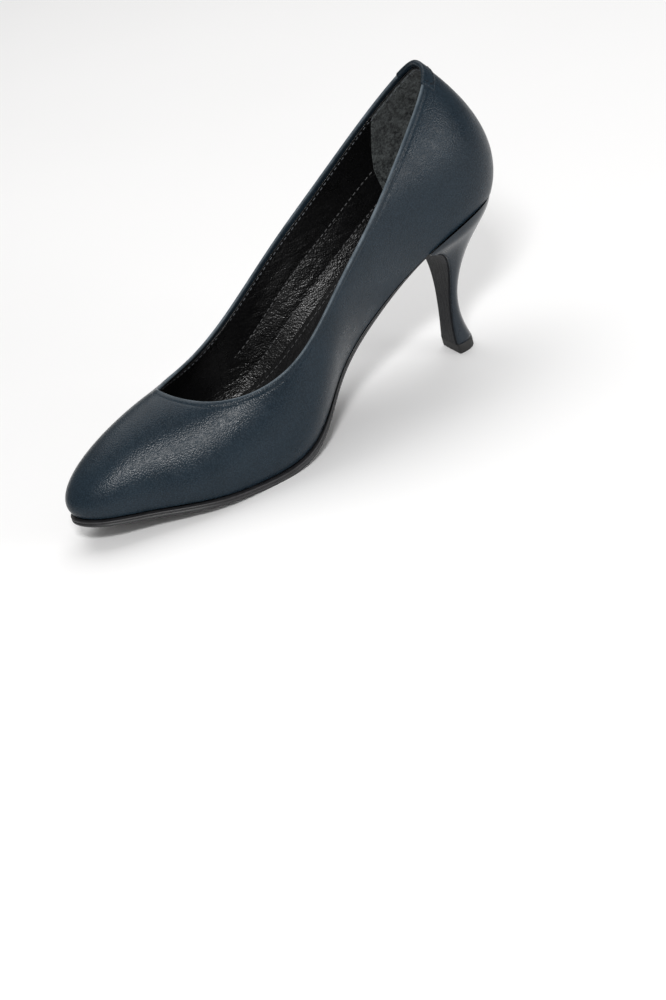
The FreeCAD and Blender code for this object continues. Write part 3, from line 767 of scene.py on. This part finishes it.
SOCK_SEAM = 3.25            # the stitched line's distance from the insock's edge
line = foot(np.linspace(0, RING, 900), STACK + SOCK_GAP + SOCK_SEAM)
line[:, 2] = insock_top(line[:, 0]) + sock_lift(SOCK_SEAM) + 0.08
upright = np.tile([0.0, 0.0, 1.0], (len(line), 1))
stitched = mesh_object("insock_thread", stitch_row(line, upright, 3.0, 2.1, 0.24), insock_thread)
finish_piece(stitched, "insock_stitches")


# ------------------------------------------------------------------ threads on the walls
def wall_line(t, s, depth):
    """Points on the wall and the directions into the shoe there."""
    points = skin(t, s, depth)
    normals = unit(skin(t, s, np.asarray(depth) + 1.0) - points)
    return points, normals


loop = np.linspace(0, RING, 1600)
in_grip = ribs_from(START, loop) < 2.02
loop_depth = np.where(in_grip, STACK + GRIP, STACK) + 0.02
points, normals = wall_line(loop, below_top(loop, LINING_DROP + 1.15), loop_depth)
topline_thread = mesh_object("topline_thread", stitch_row(points, normals, 2.7, 2.0, 0.26),
                             highlit_topline_thread)
finish_piece(topline_thread, "topline_stitches")

grids = []
for height in SEAM_HEIGHTS:
    for span in SEAM_SPANS:
        seam_t = np.linspace(*span, 500)
        grids += stitch_row(*wall_line(seam_t, height, STACK + 0.1), 2.9, 2.1, 0.25)
lining_thread = mesh_object("lining_thread", grids, insock_thread)
finish_piece(lining_thread, "lining_stitches")

on_tab = 0.02 - TAB_PROUD
tab_line = np.linspace(START - TAB_HALF + 0.1, START + TAB_HALF - 0.1, 200)
points, normals = wall_line(tab_line, below_top(tab_line, 5.0), on_tab)
grids = stitch_row(points, -normals, 2.6, 1.9, 0.30)
for side in (-1, 1):
    drops = np.linspace(5.1, 0.6, 40)
    edge_t = np.full(40, START + side * (TAB_HALF - 0.12))
    points, normals = wall_line(edge_t, below_top(edge_t, drops), on_tab)
    grids += stitch_row(points, -normals, 2.2, 1.7, 0.30)
tab_thread = mesh_object("back_strip_thread", grids, upper_thread)
finish_piece(tab_thread, "back_tab_stitches")


# ------------------------------------------------------------------ outsole
def outsole_grids():
    """The grooved edge all round, and the flat underside inside it."""
    t = t_all
    stand = np.array([SOLE_EDGE[i] for i, _side in ring])[:, None]
    edge_poles = poles(base[0] - inward[0] * stand)
    outline = round_curve(edge_poles, t)
    inner = level_inward(t)
    thick = sole_thick(outline[:, 0])
    full = smooth((thick - 1.0) / 1.6)
    # Inset from the edge's face, and share of the thickness below the upper. The groove fades out
    # where the sole is thin.
    profile = [(2.5, 0.0), (0.35, 0.0), (0.10, 0.05), (0.0, 0.14), (0.02, 0.26), (0.14, 0.35),
               (0.42, 0.40), (0.46, 0.43), (0.40, 0.47), (0.10, 0.53), (-0.04, 0.62), (-0.05, 0.76),
               (0.05, 0.90), (0.24, 0.97), (0.6, 1.0)]
    rows = []
    for shift, share in profile:
        amount = np.where(share > 0.3, shift * full + (1 - full) * max(shift, 0.0) * 0.4, shift)
        point = outline + inner * amount[:, None]
        height = bottom(point[:, 0]) - 0.3 - (thick - 0.3) * share
        point[:, 2] = np.maximum(height, 0.0)
        rows.append(point)
    rim = np.array(rows)
    floor_poles = poles(base[0] - inward[0] * (stand - profile[-1][0]))
    ends = [round_curve(floor_poles, START + side * ribs_along(260)) for side in (-1, 1)]
    under = bridge(*ends, np.sin(np.linspace(-math.pi / 2, math.pi / 2, 40)))
    under[..., 2] = np.maximum(bottom(under[..., 0]) - sole_thick(under[..., 0]), 0.0)
    return [(rim, False, True), (under, False, False)]


outsole = mesh_object("outsole_body", outsole_grids(), sole_rubber)
finish_piece(outsole, "outsole")


# ------------------------------------------------------------------ heel
def clamped(points, x):
    """Clamped cubic B-spline over control points at parameters x, by de Boor's rule."""
    count = len(points)
    knots = np.concatenate([[0] * 3, np.arange(count - 2), [count - 3] * 3]).astype(float)
    x = np.clip(np.asarray(x, float), 0, count - 3 - 1e-9)
    span = np.floor(x).astype(int) + 3
    d = [points[span - 3 + j] for j in range(4)]
    for level in range(1, 4):
        for j in range(3, level - 1, -1):
            low = knots[span - 3 + j]
            high = knots[span + j - level + 1]
            a = ((x - low) / (high - low)).reshape(x.shape + (1,) * (points.ndim - 1))
            d[j] = (1 - a) * d[j - 1] + a * d[j]
    return d[3]


def heel_section(level, angle):
    """Point of a level's outline, from the breast corner (0) to the middle of the back."""
    corner_u, corner_v, corner_w, back_u, back_w, fullness = level
    share = math.sin(angle)
    return (corner_u + (back_u - corner_u) * share,
            corner_v * math.cos(angle) + fullness * math.sin(2 * angle),
            corner_w + (back_w - corner_w) * share)


def heel_poles():
    """Control points of each level, from the left corner round the back to the right corner."""
    rows = []
    for level in HEEL:
        left = [heel_section(level, 0.5 * math.pi * k / 8) for k in range(9)]
        rows.append(left + [(p[0], -p[1], p[2]) for p in reversed(left[:-1])])
    return np.array(rows)


heel_control = heel_poles()
LAST_SPAN = heel_control.shape[1] - 3
HEEL_COLUMNS = 96
side_params = np.linspace(0, LAST_SPAN, HEEL_COLUMNS)
heel_columns = np.swapaxes(clamped(np.swapaxes(heel_control, 0, 1), side_params), 0, 1)


def wall_top(u):
    """Height where the heel's wall ends: a little above the seat, over the thin sole edge."""
    return bottom(u) - sole_thick(u) + 0.75


def heel_surface():
    """Rows from the seat down to the top piece, trimmed against the outsole."""
    fine = np.linspace(0, len(HEEL) - 3, 900)
    dense = clamped(heel_columns, fine)
    columns = []
    for k in range(HEEL_COLUMNS):
        curve = dense[:, k]
        above = curve[:, 2] > wall_top(curve[:, 0])
        first = np.nonzero(above)[0].max() + 1 if above.any() else 0
        trimmed = curve[first:]
        stops = np.linspace(0, len(trimmed) - 1, 110)
        columns.append(at_run(np.arange(len(trimmed)), trimmed, stops))
    return np.transpose(np.array(columns), (2, 0, 1))


heel_rows = heel_surface()


def heel_block_rows():
    """Each level's D with softened corners and a flat breast between lacquered rims."""
    rows = []
    for row in heel_rows:
        left, right = row[0], row[-1]
        width = left[1] - right[1]
        chord = unit(right - left)
        soft = min(1.0, width * 0.12)
        ends = []
        for corner, inner_way, following in ((left, chord, row[3]), (right, -chord, row[-4])):
            side_way = unit(following - corner)
            a = corner + side_way * soft
            b = corner + inner_way * soft
            arc = [(1 - x) ** 2 * a + 2 * x * (1 - x) * corner + x * x * b for x in np.linspace(0, 1, 5)]
            ends.append(arc)
        rim = min(1.25, width * 0.16)
        face = [left + chord * (rim + (width - 2 * rim) * share) for share in np.linspace(1, 0, 12)]
        rows.append(list(row[4:-4]) + ends[1] + face + ends[0][::-1])
    return np.array(rows)


block = heel_block_rows()
base_row = block[-1]
middle = base_row.mean(axis=0)
closing = np.array([base_row, middle + (base_row - middle) * 0.5, np.tile(middle, (len(base_row), 1))])
heel = mesh_object("heel_block_lacquered", [(block, False, True), (closing, False, True)], heel_lacquer)
finish_piece(heel, "heel_block")


def breast_rows():
    """Dark covering laid on the breast between the rims, rounded at its long edges."""
    rows = []
    corners = (heel_rows[:, 0] + heel_rows[:, -1]) / 2
    slope = np.gradient(corners, axis=0)
    outward = unit(np.stack([-slope[:, 2], np.zeros(len(slope)), slope[:, 0]], 1))
    outward *= np.sign(outward[len(outward) // 2, 0])
    run = run_along(corners)
    arch_from, arch_height = 2.2, 9.0
    stops = arch_from + np.concatenate([arch_height * (1 - np.cos(np.linspace(0, math.pi / 2, 26))),
                                        np.linspace(arch_height, run[-1] - arch_from, 90)[1:]])
    for stop in stops:
        left, right = at_run(run, heel_rows[:, 0], stop), at_run(run, heel_rows[:, -1], stop)
        front = unit(at_run(run, outward, stop))
        into = min((stop - arch_from) / arch_height, 1.0)
        arch = math.sqrt(max(1 - (1 - into) ** 2, 0.0))
        width = left[1] - right[1]
        rim = min(1.05, width * 0.13)
        reach = (width / 2 - rim) * arch
        line = []
        for x in np.sin(np.linspace(-math.pi / 2, math.pi / 2, 36)):
            inset = min(reach * (1 - abs(x)), (stop - arch_from) * 1.5)
            height = -0.2 + 0.8 * float(edge_round(np.array(inset), 0.5))
            line.append((left + right) / 2 + np.array([0, x * reach, 0]) + front * height)
        rows.append(line)
    return np.array(rows)


breast = mesh_object("breast_cover", [(breast_rows(), False, False)], breast_leather)
finish_piece(breast, "heel_breast_flap")


def top_piece_grid():
    """Rubber top piece: a soft-edged D a little proud of the heel's foot."""
    outline = clamped(heel_control[-1], np.linspace(0, LAST_SPAN, 120))
    chord = [outline[-1] + (outline[0] - outline[-1]) * x for x in np.linspace(0, 1, 40)[1:-1]]
    loop_points = np.vstack([outline, chord])
    for _pass in range(6):
        beside = np.roll(loop_points, 1, 0) + np.roll(loop_points, -1, 0)
        loop_points = loop_points * 0.5 + beside * 0.25
    middle = loop_points.mean(axis=0)
    rows = []
    # Share of the outline's size, and height.
    profile = [(0.0, 4.78), (0.97, 4.76), (1.005, 4.66), (1.02, 4.5), (1.02, 3.0), (1.015, 1.2),
               (1.01, 0.35), (0.985, 0.08), (0.96, 0.0), (0.5, 0.0), (0.0, 0.0)]
    for grow, height in profile:
        point = middle + (loop_points - middle) * grow
        point[:, 2] = height
        rows.append(point)
    return np.array(rows), False, True


top_piece = mesh_object("top_piece_body", [top_piece_grid()], top_piece_rubber)
finish_piece(top_piece, "top_piece")

# ------------------------------------------------------------------ the hidden CAD pieces
hidden_looks = {
    "stiffener": plain("stiffener", (0.5, 0.46, 0.38), (0.66, 0.62, 0.54), 0.55, 400.0),
    "backer_cloth": plain("backer_cloth", (0.6, 0.58, 0.52), (0.76, 0.74, 0.68), 0.9, 1200.0, 0.0001),
    "fibreboard": plain("fibreboard", (0.33, 0.25, 0.16), (0.48, 0.39, 0.27), 0.85, 700.0, 0.0001),
    "steel": plain("steel", (0.42, 0.42, 0.43), (0.6, 0.6, 0.61), 0.32, 260.0, metallic=1.0),
    "filler_felt": plain("filler_felt", (0.26, 0.24, 0.22), (0.42, 0.4, 0.37), 0.95, 900.0, 0.0002),
    "foam": plain("foam", (0.66, 0.62, 0.46), (0.8, 0.77, 0.62), 0.8, 1100.0, 0.0001),
}
slot_of = {subpart["node"]: subpart["material_slot"] for subpart in frame["record"]["subparts"]}
for node, piece in frame["nodes"].items():
    look = hidden_looks.get(slot_of[node])
    if look is not None:
        for place in piece.material_slots:
            place.material = look

# ------------------------------------------------------------------ floor, light and camera
REACH = 9.0                 # metres from the middle of the floor to its edges
floor_mesh = bpy.data.meshes.new("floor")
floor_corners = [(-REACH, -REACH, 0), (REACH, -REACH, 0), (REACH, REACH, 0), (-REACH, REACH, 0)]
floor_mesh.from_pydata(floor_corners, [], [(0, 1, 2, 3)])
floor = bpy.data.objects.new("floor", floor_mesh)
bpy.context.scene.collection.objects.link(floor)
paper = Nodes("paper")
floor_mesh.materials.append(paper.put(
    color=paper.blend(paper.noise(6.0, 2.0), (0.885, 0.882, 0.880), (0.910, 0.907, 0.905)),
    roughness=0.75, specular=0.2))

world = bpy.data.worlds.new("studio")
bpy.context.scene.world = world
world.use_nodes = True
backdrop = world.node_tree.nodes["Background"]
backdrop.inputs["Color"].default_value = (1.0, 0.995, 0.99, 1)
backdrop.inputs["Strength"].default_value = 0.30


def softbox(name, place, aim, width, height, power):
    """Rectangular light at a place, turned to face its aim."""
    light = bpy.data.lights.new(name, "AREA")
    light.shape = "RECTANGLE"
    light.size, light.size_y = width, height
    light.energy = power
    lamp = bpy.data.objects.new(name, light)
    bpy.context.scene.collection.objects.link(lamp)
    lamp.location = place
    lamp.rotation_mode = "QUATERNION"
    lamp.rotation_quaternion = (Vector(aim) - Vector(place)).to_track_quat("-Z", "Y")


# Above, near the camera for the toe's highlight, and low at the side for the quarter's.
softbox("key", (-0.55, 0.25, 1.25), (0.0, 0.0, 0.05), 1.5, 1.2, 12.0)
softbox("front", (0.86, -0.36, 0.93), (0.0, 0.0, 0.05), 0.26, 0.16, 9.5)
softbox("side", (1.20, 0.78, 0.36), (0.0, 0.05, 0.08), 0.55, 0.40, 6.0)

# The camera looks down on the inner side from a little ahead of it, tilted about its own axis.
AZIMUTH, ELEVATION, TILT = math.radians(69.1), math.radians(29.56), math.radians(-17.33)
SENSOR, LENS = 36.0, 79.2   # mm
DISTANCE, SLIDE_RIGHT, SLIDE_UP = 0.9576, 0.01997, -0.07272
target = Vector((-CENTRE_V, CENTRE_U - 115.0, 45.0)) / 1000
back = Vector((math.sin(AZIMUTH) * math.cos(ELEVATION), -math.cos(AZIMUTH) * math.cos(ELEVATION),
               math.sin(ELEVATION)))
level_right = Vector((math.cos(AZIMUTH), math.sin(AZIMUTH), 0))
level_up = back.cross(level_right)
right = level_right * math.cos(TILT) + level_up * math.sin(TILT)
up = level_up * math.cos(TILT) - level_right * math.sin(TILT)
camera_data = bpy.data.cameras.new("camera")
camera_data.sensor_width = SENSOR
camera_data.lens = LENS
camera_data.clip_end = 50.0
camera = bpy.data.objects.new("camera", camera_data)
bpy.context.scene.collection.objects.link(camera)
place = target + right * SLIDE_RIGHT + up * SLIDE_UP + back * DISTANCE
camera.matrix_world = Matrix((
    (right.x, up.x, back.x, place.x), (right.y, up.y, back.y, place.y),
    (right.z, up.z, back.z, place.z), (0, 0, 0, 1),
))
bpy.context.scene.camera = camera
bpy.context.scene.view_settings.view_transform = "Standard"
